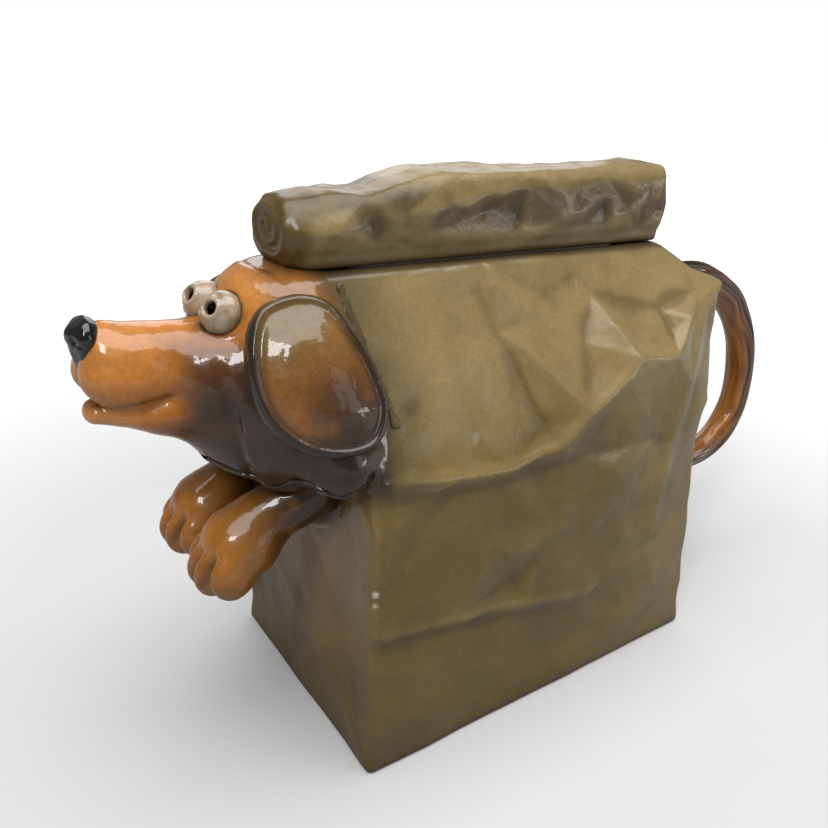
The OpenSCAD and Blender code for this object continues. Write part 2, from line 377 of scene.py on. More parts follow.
BACK = Panel((-92, -4), (92, 150), folds=[
    [(-92, -4, 44.5), (92, -4, 44.5)],
    [(-92, 0, 44.5), (92, 0, 44.5)],
    [(-76, 96, 43.2), (-50, 94, 44.2), (-18, 97, 44.4), (14, 93, 44.2), (44, 97, 43.4), (60, 110, 38.5),
     (82, 131, 26.0), (92, 132, 25.0)],
    [(-76, 89, 42.8), (-20, 90, 43.1), (30, 87, 43.2), (76, 93, 37.5)],
    [(-72, 36, 44.0), (-30, 44, 44.9), (16, 40, 45.0), (44, 47, 43.6), (76, 44, 38.5)],
    [(-72, 32, 43.4), (-30, 39.5, 43.6), (16, 35.5, 43.6)],
    [(-42, 140, 16.8), (-30, 118, 29.0), (-34, 101, 40.8)],
    [(10, 140, 17.6), (22, 122, 29.2), (12, 104, 38.6)],
    [(40, 141, 16.6), (56, 126, 28.8), (50, 112, 38.4)],
    [(-52, 8, 44.6), (-40, 30, 43.6), (-46, 60, 43.5), (-34, 84, 43.9)],
    [(30, 6, 44.5), (36, 34, 43.6), (28, 62, 44.1), (40, 84, 43.2)],
    [(52, 30, 43.4), (54, 66, 43.2), (60, 100, 40.0), (72, 122, 31.0)],
], loose=[
    (-92, 150, 9), (92, 150, 9), (-80, 144, 14.5), (-10, 144, 14.5), (62, 144, 14.5), (92, 144, 14.5),
    (-92, 96, 43), (92, 50, 36), (92, 96, 35), (-64, 126, 25.2), (-10, 128, 23.8), (-8, 112, 33.4),
    (0, 70, 44.2), (-62, 64, 43.6), (12, 18, 43.9), (66, 70, 38.4), (64, 22, 42.2),
], crumple=[(22, 0.65), (12, 0.34), (6.5, 0.1)], soften=0.5, depth=1.7, seed=31)

HEAD_END = Panel((-50, -4), (50, 150), folds=[
    [(-50, -4, 72.5), (50, -4, 72.5)],
    [(-50, 0, 72.5), (50, 0, 72.5)],
    [(44, 47, 71.6), (24, 40, 71.9), (5, 31.6, 72.4), (-12, 26.8, 72.5), (-27.5, 17, 72.6), (-36, 6, 72.4)],
    [(38, 50, 71.0), (25, 31, 70.2), (9, 8, 71.6), (6, 0.5, 72.4)],
    [(30, 64, 70.6), (31, 40, 70.2), (38, 16, 71.2)],
    [(-43, 77, 71.9), (-34, 78, 71.5), (-30, 86, 71.4)],
    [(-14, 66, 70.6), (-20, 46, 70.4), (-31, 26, 71.2), (-37, 8, 71.8)],
    [(0, 66, 70.2), (0, 96, 70.0)],
    [(-50, 97, 72.0), (0, 97, 70.4), (50, 97, 72.0)],
    [(-50, 131, 82.5), (0, 131, 81.0), (50, 131, 82.5)],
    [(-50, 144, 80.0), (50, 144, 80.0)],
], loose=[(-50, 150, 76), (50, 150, 76), (-44, 40, 72.2), (46, 20, 72.2)],
    crumple=[(17, 0.6), (9, 0.22)], soften=0.5, depth=1.5, seed=51)

TAIL_END = Panel((-50, -4), (50, 150), folds=[
    [(-50, -4, 72.5), (50, -4, 72.5)],
    [(-50, 0, 72.5), (50, 0, 72.5)],
    [(-46, 4, 72.4), (0, 42, 68.6), (46, 4, 72.4)],
    [(0, 42, 68.6), (0, 96, 67.6), (0, 124, 76.5)],
    [(-43, 52, 71.6), (-40, 97, 72.0)],
    [(43, 52, 71.6), (40, 97, 72.0)],
    [(-50, 97, 72.4), (-38, 97, 72.0)],
    [(38, 97, 72.0), (50, 97, 72.4)],
    [(-50, 131, 82.8), (-20, 131, 82.4), (0, 130, 80.6), (20, 131, 82.4), (50, 131, 82.8)],
    [(-50, 144, 62.0), (50, 144, 62.0)],
    [(-30, 20, 71.2), (-20, 60, 70.2), (-26, 90, 70.6)],
    [(28, 24, 71.0), (22, 64, 70.0), (30, 88, 70.8)],
], loose=[(-50, 150, 52), (50, 150, 52)],
    crumple=[(17, 0.6), (9, 0.22)], soften=0.5, depth=1.5, seed=71)


def bag_skin(q, plain=False):
    """Distance to the outside of the paper bag."""
    x, y, z = q
    broad = np.maximum(FRONT.beyond(x, z, -y, plain), BACK.beyond(x, z, y, plain))
    ends = np.maximum(HEAD_END.beyond(y, z, -x, plain), TAIL_END.beyond(y, z, x, plain))
    crisp = smooth01(-x, 0, 40) * (1 - smooth01(z, 80, 96))
    side = round_and(broad, ends, 4.6 - 2.6 * crisp)
    return round_and(side, np.maximum(z - LAND_Z, -z), 1.6)


def mouth_hole(q):
    """Distance to the upright oval shaft of the mouth."""
    x, y, _ = q
    along = np.maximum(np.abs(x - MOUTH_X) - (MOUTH_HALF - MOUTH_R), 0.0)
    return np.sqrt(along ** 2 + y ** 2) - MOUTH_R


SPOUT_IN = (-72.0, 0.0, 117.0)
SPOUT_OUT = (-133.0, 0.0, 115.6)


def strainer_holes(q):
    x, y, z = q
    holes = [(0.0, 0.0)] + [(8.2 * math.cos(math.radians(a)), 8.2 * math.sin(math.radians(a)))
                            for a in range(0, 360, 60)]
    d = np.full(x.shape, 1e3, np.float32)
    for a, b in holes:
        d = np.minimum(d, np.sqrt((y - a) ** 2 + (z - SPOUT_IN[2] - b) ** 2) - 2.5)
    return np.maximum(d, x + 60)


def bag_field(q):
    inner = bag_skin(q, plain=True) + WALL
    shell = np.maximum(bag_skin(q), -inner)
    shaft = np.maximum(mouth_hole(q), 120 - q[2])
    shell = cut(shell, shaft, 1.2)
    return np.maximum(shell, -strainer_holes(q))


# ---------------------------------------------------------------- the dog's body


def channel(q):
    """Inside of the spout: narrows from the strainer to a wide slot between the lips."""
    throat = limb(q, SPOUT_IN, (-116, 0, 115.4), 12.5, 3.0)
    lips = limb(q, (-116, 0, 115.4), SPOUT_OUT, 2.2, 1.1, (1, 2.3, 1))
    return np.minimum(throat, lips)


def eye_centre(side):
    return (EYE_AT[0], side * abs(EYE_AT[1]), EYE_AT[2])


def dog_shape(q, clip=True):
    """Skull, muzzle, jaw and neck, before they are let into the bag."""
    x, y, z = q
    a = np.abs(y)
    skull = ellipsoid(q, (-79.5, 0, 122), (17.4, 27, 25))
    brow = ellipsoid((x, y, z), (-87.5, 0, 130.5), (7, 13, 11.5))
    cheek = ellipsoid((x, a, z), (-97.5, 5.5, 118.3), (12, 12, 11.2))
    bridge = limb(q, (-121, 0, 126.2), (-101, 0, 122.8), 7.4, 9.2, (1, 1.15, 1))
    flews = ellipsoid((x, a, z), (-117.4, 3.4, 121.6), (13.4, 8.4, 9.2))
    tip = ellipsoid(q, (-124.6, 0, 127.3), (4.8, 6.4, 6.8))
    upper = join(join(bridge, flews, 3), tip, 3)
    upper = join(upper, cheek, 5)
    jaw = limb(q, (-127.2, 0, 112.0), (-110, 0, 110.2), 3.0, 6.4, (1, 1.6, 1))
    throat = limb(q, (-108, 0, 112), (-86, 0, 104), 7.5, 20, (1, 1.2, 1))
    neck = ellipsoid(q, (-78, 0, 107), (22, 38, 24))
    neck = join(neck, ellipsoid((x, a, z), (-77, 31, 101), (8.5, 12.2, 10)), 5)
    body = join(join(skull, brow, 6), neck, 9)
    lower = join(jaw, throat, 7)
    head = join(upper, lower, 0.8 + 5.0 * smooth01(x, -112, -103))
    head = join(head, body, 7)
    for side in (-1, 1):
        c = eye_centre(side)
        lid = np.maximum(ellipsoid(q, (c[0] + 0.6, c[1] * 1.02, c[2] - 0.8), (6.5, 6.4, 6.4)),
                         -(x - c[0]) * 0.6 + (z - c[2]) * 0.8 + 3.0)
        head = join(head, lid, 1.6)
    crease = np.sqrt((a - 17.5) ** 2 * 0.6 + (x + 100 + 0.25 * (z - 118)) ** 2) - 0.3
    head = head + 1.0 * np.exp(-(crease / 1.6) ** 2) * smooth01(a, 10, 15) * smooth01(135 - z, 0, 8)
    top = np.interp(x, [-93, -87, -83], [147.2, 146.4, 143.6]).astype(np.float32)
    head = round_and(head, z - top, 2.0)
    return round_and(head, bib_edge(q) - z, 1.6) if clip else head


def bib_edge(q):
    """Height of the torn paper's lower edge under the throat."""
    a = np.abs(q[1])
    flap = 3.6 * np.exp(-((a - 22) / 4.5) ** 2) - 1.2 * np.exp(-((a - 31) / 4.0) ** 2)
    return FOLD_Z - 1.2 - flap - 2.2 * smooth01(a, 34, 42) + 0.35 * noise((q[0], q[1], q[2] * 0), 4.0, 15)


def dog_field(q):
    bag = bag_skin(q)
    dog = dog_shape(q)
    dog = dog + 0.18 * noise(q, 5.0, 3) + 0.05 * noise(q, 1.8, 4)
    body = join(dog, bag + 0.05 + 0.7 * smooth01(dog, 1.5, 5.0), 5.0)
    body = np.maximum(body, dog - 7.0)
    body = np.maximum(body, -(bag + 1.6))
    for side in (-1, 1):
        body = cut(body, ellipsoid(q, eye_centre(side), (EYE_R + 0.12,) * 3), 0.5)
    return cut(body, channel(q), 0.8)


def chest_field(q):
    """Recessed chest under the torn edge, where the forelegs come out."""
    chest = ellipsoid(q, CHEST_AT, CHEST_R) + 0.3 * noise(q, 6.0, 8)
    bag = bag_skin(q)
    body = join(chest, bag - 0.08 + 0.7 * smooth01(chest, 1.6, 5.0), 3.5)
    body = np.maximum(body, chest - 5.0)
    return np.maximum(body, -(bag + 1.6))


PAW_Y = 12.0


def foreleg(side):
    def field(q):
        c = side * PAW_Y
        arm = limb(q, (-75, side * 15, 84.5), (-89, c, 77.5), 9.0, 8.0)
        paw = ellipsoid(q, (-96.2, c, 71.5), (11.2, 11.2, 10.2))
        leg = join(arm, paw, 5)
        for k in (-1.5, -0.5, 0.5, 1.5):
            back = (abs(k) - 0.5) * 2.6
            toe = ellipsoid(q, (-104.2 + back, c + k * 5.1, 65.6 + back * 0.3), (6.4, 3.7, 7.0))
            leg = join(leg, toe, 1.6)
        for k in (-1.0, 0.0, 1.0):
            groove = limb(q, (-104.0 + abs(k), c + k * 4.8, 76), (-112 + abs(k), c + k * 5.2, 62), 0.4, 0.4)
            leg = leg + 0.6 * np.exp(-(np.maximum(groove, 0) / 0.9) ** 2)
        leg = leg + 0.12 * noise(q, 3.5, 21 + side)
        return np.maximum(leg, -(bag_skin(q) + 1.5))
    return field


def polygon_gap(a, b, outline):
    """Signed distance to a closed outline in a plane."""
    best = np.full(a.shape, 1e6, np.float32)
    inside = np.zeros(a.shape, bool)
    n = len(outline)
    for i in range(n):
        p, r = outline[i], outline[(i + 1) % n]
        e = (r[0] - p[0], r[1] - p[1])
        w = (a - p[0], b - p[1])
        t = np.clip((w[0] * e[0] + w[1] * e[1]) / (e[0] ** 2 + e[1] ** 2), 0, 1)
        best = np.minimum(best, (w[0] - e[0] * t) ** 2 + (w[1] - e[1] * t) ** 2)
        crosses = ((p[1] <= b) != (r[1] <= b))
        at = p[0] + (b - p[1]) * e[0] / (e[1] if abs(e[1]) > 1e-9 else 1e-9)
        inside ^= crosses & (a < at)
    return np.where(inside, -1, 1) * np.sqrt(best)


def rounded(points, steps=5):
    """Catmull-Rom curve through a closed list of points."""
    out, n = [], len(points)
    p = np.array(points, float)
    for i in range(n):
        p0, p1, p2, p3 = (p[(i + k) % n] for k in (-1, 0, 1, 2))
        for t in np.arange(steps) / steps:
            out.append(0.5 * (2 * p1 + (p2 - p0) * t + (2 * p0 - 5 * p1 + 4 * p2 - p3) * t * t
                              + (3 * p1 - p0 - 3 * p2 + p3) * t ** 3))
    return [tuple(o) for o in out]


# Ear outline in the ear's own plane: along the bag, and up.
EAR_OUTLINE = rounded([(-1.5, 19.8), (-11, 17.5), (-15.5, 9), (-16.4, -2), (-13.4, -11), (-6.5, -18),
                       (3.5, -21.2), (12.2, -19.6), (17, -11), (14.4, 1), (10.4, 10), (6.5, 17)])
EAR_AT = (-82.8, 32.4, 124.8)
EAR_OUT = Vector((-0.15, 0.90, 0.41)).normalized()
EAR_ALONG = (Vector((1, 0, 0)) - EAR_OUT * EAR_OUT.x).normalized()
EAR_UP = EAR_OUT.cross(EAR_ALONG) * -1.0


def ear_frame(q, side):
    back, inward, drop = (4.0, 1.5, 3.5) if side > 0 else (0.0, 0.0, 0.0)
    x, y, z = q[0] - EAR_AT[0] - back, q[1] * side - EAR_AT[1] + inward, q[2] - EAR_AT[2] + drop
    along = x * EAR_ALONG.x + y * EAR_ALONG.y + z * EAR_ALONG.z
    up = x * EAR_UP.x + y * EAR_UP.y + z * EAR_UP.z
    out = x * EAR_OUT.x + y * EAR_OUT.y + z * EAR_OUT.z
    return along, up, out


def ear_shape(q, side):
    """Rough distance to the ear flap, for the colours around it."""
    a, b, c = ear_frame(q, side)
    flat = np.sqrt(((a + 1.5) / 16.0) ** 2 + (b / 20.0) ** 2)
    return np.maximum((flat - 1) * 17.0, np.abs(c) - 6.0)


def ear(side):
    def field(q):
        a, b, c = ear_frame(q, side)
        c = c + 0.010 * (a + 2) ** 2 + 0.004 * b * b
        gap = polygon_gap(a, b, EAR_OUTLINE)
        root = 1 - 0.7 * smooth01(b, 6, 18)
        dome = 1.3 + root * (1.6 + 2.0 * smooth01(-gap, 1, 12)) + 0.35 * noise(q, 9.0, 41)
        rim = 0.5 * root * np.exp(-((gap + 1.3) / 0.7) ** 2)
        valley = 0.5 * root * np.exp(-((gap + 2.9) / 1.0) ** 2)
        body = round_and(gap, c - (dome + rim - valley), 1.6)
        body = body + 0.06 * noise(q, 1.6, 43)
        body = np.maximum(body, -(c + 2.2))
        keep = np.minimum(bag_skin(q), dog_shape(q))
        return np.maximum(body, -(keep + 1.5))
    return field


def eye_look(side):
    return Vector((-0.80, -0.30 + side * 0.16, 0.52)).normalized()


def eye_field(side):
    c = eye_centre(side)
    look = eye_look(side)

    def field(q):
        ball = ellipsoid(q, c, (EYE_R, EYE_R, EYE_R)) + 0.22 * noise(q, 2.6, 61 + side)
        deep = [c[i] + look[i] * (EYE_R - 3.2) for i in range(3)]
        mouth = [c[i] + look[i] * (EYE_R + 2.0) for i in range(3)]
        near_hole = limb(q, deep, mouth, 1.5, 2.0)
        ball = ball - 0.35 * np.exp(-((near_hole - 0.9) / 0.7) ** 2)
        return cut(ball, near_hole, 0.6)
    return field


def nose_field(q):
    x, y, z = q
    a = np.abs(y)
    pad = ellipsoid(q, (NOSE_AT[0] + 0.3, 0, NOSE_AT[2] + 1.2), (4.0, 6.2, 4.6))
    chin = ellipsoid(q, (NOSE_AT[0] + 0.4, 0, NOSE_AT[2] - 4.2), (3.9, 4.6, 5.6))
    nose = join(pad, chin, 2.5)
    for nx, ny, nz, reach in ((-0.82, 0.42, 0.38, 4.0), (-0.55, 0.1, 0.83, 4.4), (-0.9, 0.4, -0.2, 3.3)):
        size = math.sqrt(nx * nx + ny * ny + nz * nz)
        flat = ((x - NOSE_AT[0]) * nx + a * ny + (z - NOSE_AT[2]) * nz) / size - reach
        nose = round_and(nose, flat, 0.5)
    nostril = ellipsoid((x, a, z), (NOSE_AT[0] - 3.6, 3.4, NOSE_AT[2] + 0.6), (2.0, 1.5, 1.5))
    slot = ellipsoid((x, a, z), (NOSE_AT[0] - 3.0, 5.2, NOSE_AT[2] - 0.4), (2.4, 1.4, 0.8))
    nose = cut(cut(nose, nostril, 0.6), slot, 0.6)
    groove = np.exp(-(y / 0.5) ** 2) * 0.5 * (1 - smooth01(z, NOSE_AT[2] - 1.5, NOSE_AT[2] + 0.5))
    return nose + groove + 0.1 * noise(q, 2.4, 71)


# ---------------------------------------------------------------- the lid: a rolled bag top

# Folds of the roll's faces are (along X, height Z, distance out), and of its top (X, Y, height Z).
LID_SIDE = Panel((-90, 140), (70, 174), folds=[
    [(-90, 143.6, 13.4), (70, 143.6, 13.6)],
    [(-86, 149, 12.2), (-74, 148, 13.4), (-50, 147, 13.5), (-10, 147.6, 13.7), (30, 146.6, 13.4),
     (66, 147, 13.8)],
    [(-84, 160, 8.6), (-74, 161.4, 10.4), (-58, 162.4, 11.8), (-46, 165.6, 11.6), (-30, 168.2, 11.8),
     (0, 168.4, 12.2), (34, 169.4, 12.4), (66, 170.4, 12.6)],
    [(-84, 155, 11.6), (-70, 154, 14.0), (-58, 157, 12.6), (-44, 158, 13.9), (-20, 163, 13.2),
     (6, 164.6, 13.4)],
    [(-70, 154, 14.0), (-56, 151, 12.8), (-40, 152.4, 13.8), (-16, 158.4, 12.5), (14, 155, 13.7),
     (36, 160.5, 13.0)],
    [(-16, 158.4, 12.5), (4, 150.6, 13.5), (22, 152, 12.8)],
    [(36, 160.5, 13.0), (52, 154, 13.9), (66, 158, 13.3)],
    [(-4, 167, 12.4), (12, 160.2, 13.6), (30, 166.4, 12.6), (44, 163, 13.6), (62, 167, 12.7)],
    [(-60, 146, 13.3), (-48, 151, 13.0), (-36, 146, 13.7)],
], loose=[(-90, 174, 7), (70, 174, 11), (48, 148.6, 12.9), (8, 147, 13.9), (-24, 150, 13.9)],
    crumple=[(13, 0.7), (7, 0.36)], soften=0.4, depth=1.35, seed=91)

LID_BACK = Panel((-90, 140), (70, 174), folds=[
    [(-90, 143.6, 13.4), (70, 143.6, 13.6)],
    [(-86, 149, 12.2), (-60, 147, 13.6), (-20, 148, 13.6), (20, 146.8, 13.5), (66, 147, 13.8)],
    [(-84, 160, 8.6), (-60, 162, 11.6), (-30, 168, 11.8), (34, 169.2, 12.4), (66, 170.2, 12.6)],
    [(-80, 153, 12.6), (-50, 158, 13.8), (-20, 154, 12.8), (10, 160, 13.8), (40, 153, 12.9), (66, 160, 13.8)],
    [(-40, 146, 13.2), (-20, 154, 12.8), (-12, 166, 12.6)],
    [(30, 146, 13.6), (40, 153, 12.9), (46, 166, 13.0)],
], loose=[(-90, 174, 7), (70, 174, 11)], crumple=[(13, 0.7), (7, 0.36)], soften=0.4, depth=1.5, seed=101)

LID_TOP = Panel((-90, -20), (70, 20), folds=[
    [(-90, 0, 157.4), (-82, 0, 161.6), (-72, 1, 163.4), (-58, -1, 163.8), (-48, 1, 166.0), (-34, 0, 168.6),
     (-10, -2, 169.2), (16, 1, 169.2), (44, -1, 170.0), (62, 0, 170.4), (70, 0, 170.4)],
    [(-90, -12, 155.0), (-76, -11, 161.0), (-56, -11, 162.6), (-46, -11, 165.2), (-30, -11, 168.3),
     (10, -12, 168.6), (62, -12, 169.8), (70, -12, 169.8)],
    [(-90, 12, 155.0), (-76, 11, 161.0), (-56, 11, 162.8), (-46, 11, 165.6), (-30, 11, 168.0),
     (10, 12, 168.8), (62, 12, 169.6), (70, 12, 169.6)],
    [(-66, -6, 163.4), (-50, 6, 164.6)],
    [(-20, -9, 168.2), (-2, -3, 168.9), (14, -10, 168.4)],
    [(22, 8, 168.8), (40, 3, 169.2), (54, 9, 169.6)],
], loose=[(-90, -20, 150), (-90, 20, 150), (70, -20, 167), (70, 20, 167)],
    crumple=[(13, 0.6), (7, 0.26)], soften=0.4, depth=1.2, seed=111)


COIL_Z, COIL_R, COIL_WIDE = 154.4, 11.4, 1.2  # the rolled end of the lid


def lid_outside(q):
    x, y, z = q
    sides = np.maximum(LID_SIDE.beyond(x, z, -y), LID_BACK.beyond(x, z, y))
    top = LID_TOP.beyond(x, y, z)
    sides = sides - 1.0 * (1 - smooth01(z, 144, 149)) * smooth01(x, -84, -79)
    low = LAND_Z + 0.15 + 1.6 * (1 - smooth01(x, -85, -78))
    body = round_and(sides, top, 3.2)
    body = round_and(body, (low - z) * 0.95, 1.3)
    tail_face = x - 60.6 + 0.9 * np.sin(z * 0.35) + 0.035 * (z - 144)
    body = round_and(body, tail_face, 1.6)
    span = np.sqrt((y / COIL_WIDE) ** 2 + (z - COIL_Z) ** 2)
    coil = 0.55 * np.sin(span * 1.7 + np.arctan2(z - 155.0, y)) * (1 - smooth01(x, -82, -77))
    head_end = -80.8 - x + coil - 0.05 * (z - 154) + 0.4 * noise(q, 6.0, 121)
    oval = span - COIL_R - 4.0 * (1 - smooth01(-x, 71, 81)) - 12 * (1 - smooth01(-x, 64, 73))
    return round_and(round_and(body, oval, 2.0), head_end, 3.6)


def lid_field(q):
    x, y, z = q
    out = lid_outside(q)
    t = np.clip((x + 64) / 105.0, 0, 1)
    roof = 158.5 + 7.2 * smooth01(t, 0, 0.5)
    hollow = np.maximum(np.maximum(np.abs(y) - 5.6, z - roof), np.maximum(-64 - x, x - 41))
    return cut(out, hollow, 1.5)


# ---------------------------------------------------------------- torn paper and tail


def torn_line(run, thick, seed):
    """A ragged strip of torn paper that lies on the bag along a line of points."""
    pts = np.array(run, float)

    def field(q):
        best = np.full(q[0].shape, 1e3, np.float32)
        for i in range(len(pts) - 1):
            seg = limb(q, pts[i], pts[i + 1], thick, thick)
            best = np.minimum(best, seg) if i == 0 else join(best, seg, 0.8)
        best = best + 0.6 * noise(q, 3.4, seed) + 0.2 * noise(q, 1.3, seed + 1)
        bag = bag_skin(q)
        strip = round_and(best, bag - 0.6, 0.35)
        return np.maximum(strip, -(np.minimum(bag, dog_shape(q)) + 1.0))
    return field


def torn_side(side):
    """Line of the rip behind an ear, laid on the paper."""
    x = np.array([-68.4, -67.8, -67.0, -65.8, -64.8, -63.6, -63.0])
    z = np.array([140.5, 137.6, 130.4, 124.8, 120.4, 114.0, 110.0])
    panel = FRONT if side < 0 else BACK
    out = panel.look(panel.height, x, z)
    return np.stack([x, side * out, z], axis=1)


def torn_throat(q):
    """Ragged strip of paper that hugs the neck just above its lower edge."""
    neck = dog_shape(q, clip=False) + 0.15 * noise(q, 2.6, 311)
    low = bib_edge(q) - 0.9 + 0.4 * noise(q, 3.0, 312)
    high = bib_edge(q) + 1.6 + 1.0 * noise(q, 6.0, 313)
    strip = np.maximum(neck - 0.45, -(neck + 1.0))
    strip = round_and(strip, np.maximum(q[2] - high, low - q[2]), 0.7)
    return np.maximum(strip, -(bag_skin(q) + 1.2))


def tail_line():
    """Centre line of the tail from its top root to its lower root, in millimetres."""
    y = (TAIL_LOW[1] + TAIL_HIGH[1]) / 2
    top, low = 128.5, 47.0
    pts = [(70 + i * 2.0, y, top) for i in range(7)]
    for i in range(1, 45):
        a = math.radians(90 - 90 * i / 44)
        pts.append((84 + 56 * math.cos(a), y, 72.5 + 56 * math.sin(a)))
    for i in range(1, 25):
        a = math.radians(-90 * i / 24)
        pts.append((114.5 + 25.5 * math.cos(a), y, 72.5 + 25.5 * math.sin(a)))
    pts += [(114.5 - i * 2.4, y, low) for i in range(1, 20)]
    return np.array(pts)


def hair(along, around, seed):
    """Wavy locks running along a tube: 0 in the grooves and 1 on the locks."""
    rng = np.random.default_rng(seed)
    wander = np.zeros_like(along)
    for k in (0.11, 0.19, 0.31):
        wander += 0.35 * np.sin(along * k + rng.uniform(0, 6.3)) / (k * 12)
    ripple = 0.0
    for lobes in (7, 11, 16):
        swing = 0.8 * np.sin(along * rng.uniform(0.05, 0.09) + rng.uniform(0, 6.3))
        phase = swing * 2 + rng.uniform(0, 6.3)
        ripple = ripple + np.sin(lobes * (around + wander * 0.5) + phase) / lobes ** 0.5
    return np.clip(0.55 + 0.75 * ripple, 0, 1)


def tail_piece():
    """Tail swept along its centre line, with hair modelled as grooves."""
    path = tail_line()
    keep = np.concatenate([[0], np.cumsum(np.linalg.norm(np.diff(path, axis=0), axis=1))])
    steps = np.arange(0, keep[-1], 0.5)
    centre = np.stack([np.interp(steps, keep, path[:, i]) for i in range(3)], axis=1)
    for i in (0, 2):
        k = np.ones(9) / 9
        centre[4:-4, i] = np.convolve(centre[:, i], k, mode="valid")
    go = np.gradient(centre, axis=0)
    go /= np.linalg.norm(go, axis=1, keepdims=True)
    side = np.array([0.0, 1.0, 0.0])
    out = np.cross(side, go)
    n = 128
    turn = np.linspace(0, 2 * math.pi, n, endpoint=False)
    s, t = np.meshgrid(steps, turn, indexing="ij")
    lock = hair(s, t, 7)
    total = steps[-1]
    thick = np.interp(steps / total, [0, 0.12, 0.4, 0.7, 1], [5.9, 6.0, 6.05, 5.9, 5.6])
    outer = 0.5 - 0.5 * np.cos(t)
    groove = 1.2 * (1 - lock) * (0.2 + 0.8 * smooth01(outer, 0.1, 0.7))
    r = thick[:, None] * (1 - 0.015 * np.sin(s * 0.2)) - groove
    points = (centre[:, None, :] + out[:, None, :] * (r * np.cos(t))[..., None]
              + side[None, None, :] * (r * np.sin(t))[..., None])
    rows = len(steps)
    idx = np.arange(rows * n).reshape(rows, n)
    a, b = idx[:-1], idx[1:]
    faces = np.stack([a, np.roll(a, -1, 1), np.roll(b, -1, 1), b], axis=-1).reshape(-1, 4)
    points = points.reshape(-1, 3)
    tint = tail_colour(points, lock.ravel(), outer.ravel(), (s / total).ravel())
    flat = faces.tolist() + [idx[0, ::-1].tolist(), idx[-1].tolist()]
    return mesh_piece("tail", points, flat, tint, slot="tail_glaze", replaces=["tail_handle"])


# ---------------------------------------------------------------- glaze colours with painted light and shade, sprayed by place


def srgb(r, g, b):
    c = np.array([r, g, b], np.float32) / 255.0
    return np.where(c <= 0.04045, c / 12.92, ((c + 0.055) / 1.055) ** 2.4).astype(np.float32)


KHAKI = srgb(109, 88, 41)
KHAKI_LIGHT = srgb(140, 119, 77)
KHAKI_DARK = srgb(80, 63, 29)
UMBER = srgb(38, 26, 14)
SMOKE = srgb(30, 24, 18)
ORANGE = srgb(182, 112, 38)
AMBER = srgb(138, 86, 28)
CHESTNUT = srgb(82, 48, 17)
SEAL = srgb(34, 22, 12)
CREAM = srgb(202, 138, 68)
LIP = srgb(205, 140, 78)
EYE_STONE = srgb(170, 150, 124)
EYE_SHADE = srgb(96, 76, 56)
INK = srgb(6, 6, 8)
CROWN_TAN = ORANGE * 0.3 + CREAM * 0.7
EAR_GOLD = AMBER * (0.85 * 0.75) + KHAKI * 0.25
PAW_TAN = AMBER * (1.08 * 0.8) + KHAKI * 0.2
INSIDE_BAG = srgb(150, 132, 100)
INSIDE_LID = srgb(176, 160, 130)
NOSE_SHINE = srgb(52, 54, 62)
CHIP_CLAY = srgb(226, 214, 194)
CHIPS = [(64.3, 1.0), (60.6, 0.8)]  # height and radius of the chips on the near upright edge


def mix(a, b, t):
    t = np.clip(t, 0, 1)[:, None]
    a = np.broadcast_to(a, (len(t), 3))
    return (a * (1 - t) + b * t).astype(np.float32)


def paper_relief(q):
    """How far the paper stands above (ridge) or below (valley) its surroundings, in millimetres."""
    x, y, z = q
    out = np.zeros_like(x)
    for panel, a, level in ((FRONT, x, -y), (BACK, x, y), (HEAD_END, y, -x), (TAIL_END, y, x)):
        rise = panel.look(panel.height, a, z)
        facing = np.exp(-((level - rise) / 2.0) ** 2)
        out = np.where(facing > 0.1, panel.look(panel.relief, a, z), out)
    return out


def bag_colour(q):
    x, y, z = q
    c = np.broadcast_to(KHAKI, (len(x), 3))
    # painted light: the bag grows lighter from 92 to 112 mm up, as if lit from above, with random tone from
    # the noise
    c = mix(c, KHAKI_LIGHT, 0.75 * smooth01(z, 92, 112) + 0.25 * noise(q, 26, 201))
    c = mix(c, KHAKI_DARK, 0.35 * smooth01(noise(q, 34, 202), -0.1, 0.7) * (1 - smooth01(z, 90, 110)))
    c = mix(c, KHAKI_LIGHT, 0.45 * smooth01(x, 0, 60) * (1 - smooth01(z, 90, 110)))
    c = mix(c, KHAKI_LIGHT, 0.35 * smooth01(-x, 70, 72) * smooth01(z, 20, 60))
    for chip_z, chip_r in CHIPS:
        gap = np.sqrt((x + 72.0) ** 2 + (y + 43.8) ** 2 + (z - chip_z) ** 2) - chip_r
        c = mix(c, CHIP_CLAY, 1 - smooth01(gap, -0.3, 0.5))
    relief = paper_relief(q)
    # painted highlight on the paper's raised ridges and painted shade in its valleys
    c = mix(c, KHAKI_LIGHT, 0.35 * smooth01(relief, 0.1, 0.6))
    c = mix(c, KHAKI_DARK, 0.5 * smooth01(-relief, 0.08, 0.6))
    c = mix(c, UMBER, 0.75 * (1 - smooth01(z, 0.6, 3.4)) + 0.2 * (1 - smooth01(z, 2, 14)))
    # painted shadow: a dark band on the bag's top just under the lid's edge
    lid_shadow = smooth01(z, 141.2, 143.6) * smooth01(14.8 - np.abs(y), -2.5, 1.0)
    c = mix(c, UMBER, 0.75 * lid_shadow * smooth01(x, -92, -78))
    inside = smooth01(-bag_skin(q, plain=True), 2.2, 4.0)
    return mix(c, INSIDE_BAG, inside)


